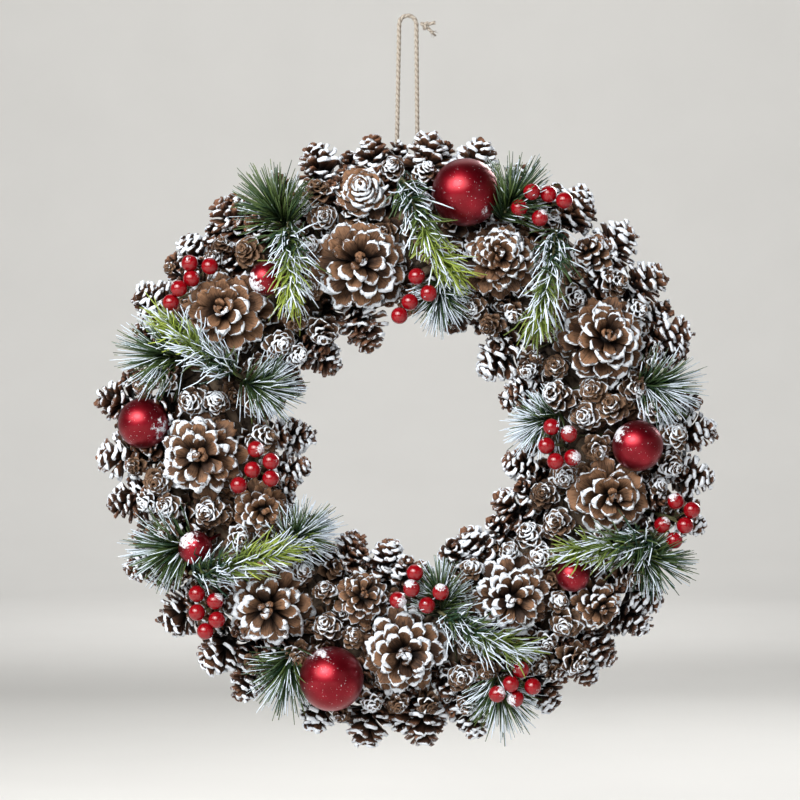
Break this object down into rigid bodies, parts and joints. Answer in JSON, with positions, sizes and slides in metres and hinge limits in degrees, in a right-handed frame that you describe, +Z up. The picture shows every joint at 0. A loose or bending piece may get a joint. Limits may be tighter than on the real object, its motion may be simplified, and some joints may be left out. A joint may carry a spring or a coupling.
{
  "type": "pinecone wreath",
  "caption": "Round hanging wreath of open pine cones, small larch cones, pine sprays, dark red baubles and red berries on a vine ring, with a twine loop.",
  "frame": {"origin": "the hook point, under the top bend of the twine loop that the wreath hangs by", "axes": "+Z up, -Y out of the front of the wreath towards the viewer, +Y into the wall or door, +X to the viewer's right"},
  "size_m": [0.3724, 0.0745, 0.4409],
  "materials": {
    "vine": "rough dry bark",
    "pine_cone": "matte woody scales with frosted white edges",
    "pine_green": "matte green needles with frosted white tips",
    "bauble_red": "dark red satin lacquer",
    "berry_red": "glossy red",
    "twine": "dry twisted jute"
  },
  "bodies": {
    "root": {"base_ring": "vine", "twine_loop": "twine", "twine_knot": "twine", "bauble_1": "bauble_red", "bauble_2": "bauble_red", "bauble_3": "bauble_red", "bauble_4": "bauble_red", "bauble_5": "bauble_red", "bauble_6": "bauble_red", "bauble_7": "bauble_red", "berries_1": "berry_red", "berries_2": "berry_red", "berries_3": "berry_red", "berries_4": "berry_red", "berries_5": "berry_red", "berries_6": "berry_red", "berries_7": "berry_red", "berries_8": "berry_red", "berries_9": "berry_red", "cone_01": "pine_cone", "cone_02": "pine_cone", "cone_03": "pine_cone", "cone_04": "pine_cone", "cone_05": "pine_cone", "cone_06": "pine_cone", "cone_07": "pine_cone", "cone_08": "pine_cone", "cone_09": "pine_cone", "cone_10": "pine_cone", "cone_11": "pine_cone", "cone_12": "pine_cone", "cone_13": "pine_cone", "cone_14": "pine_cone", "outer_cones_top_left": "pine_cone", "outer_cones_left": "pine_cone", "outer_cones_bottom_left": "pine_cone", "outer_cones_bottom_right": "pine_cone", "outer_cones_right": "pine_cone", "outer_cones_top_right": "pine_cone", "inner_cones_left": "pine_cone", "inner_cones_bottom": "pine_cone", "inner_cones_right": "pine_cone", "small_cones_right": "pine_cone", "small_cones_lower_right": "pine_cone", "pine_01": "pine_green", "pine_02": "pine_green", "pine_03": "pine_green", "pine_04": "pine_green", "pine_05": "pine_green", "pine_06": "pine_green", "pine_07": "pine_green", "pine_08": "pine_green", "pine_09": "pine_green", "pine_10": "pine_green", "pine_11": "pine_green", "pine_12": "pine_green", "pine_13": "pine_green", "pine_14": "pine_green", "pine_15": "pine_green"}
  },
  "joints": []
}
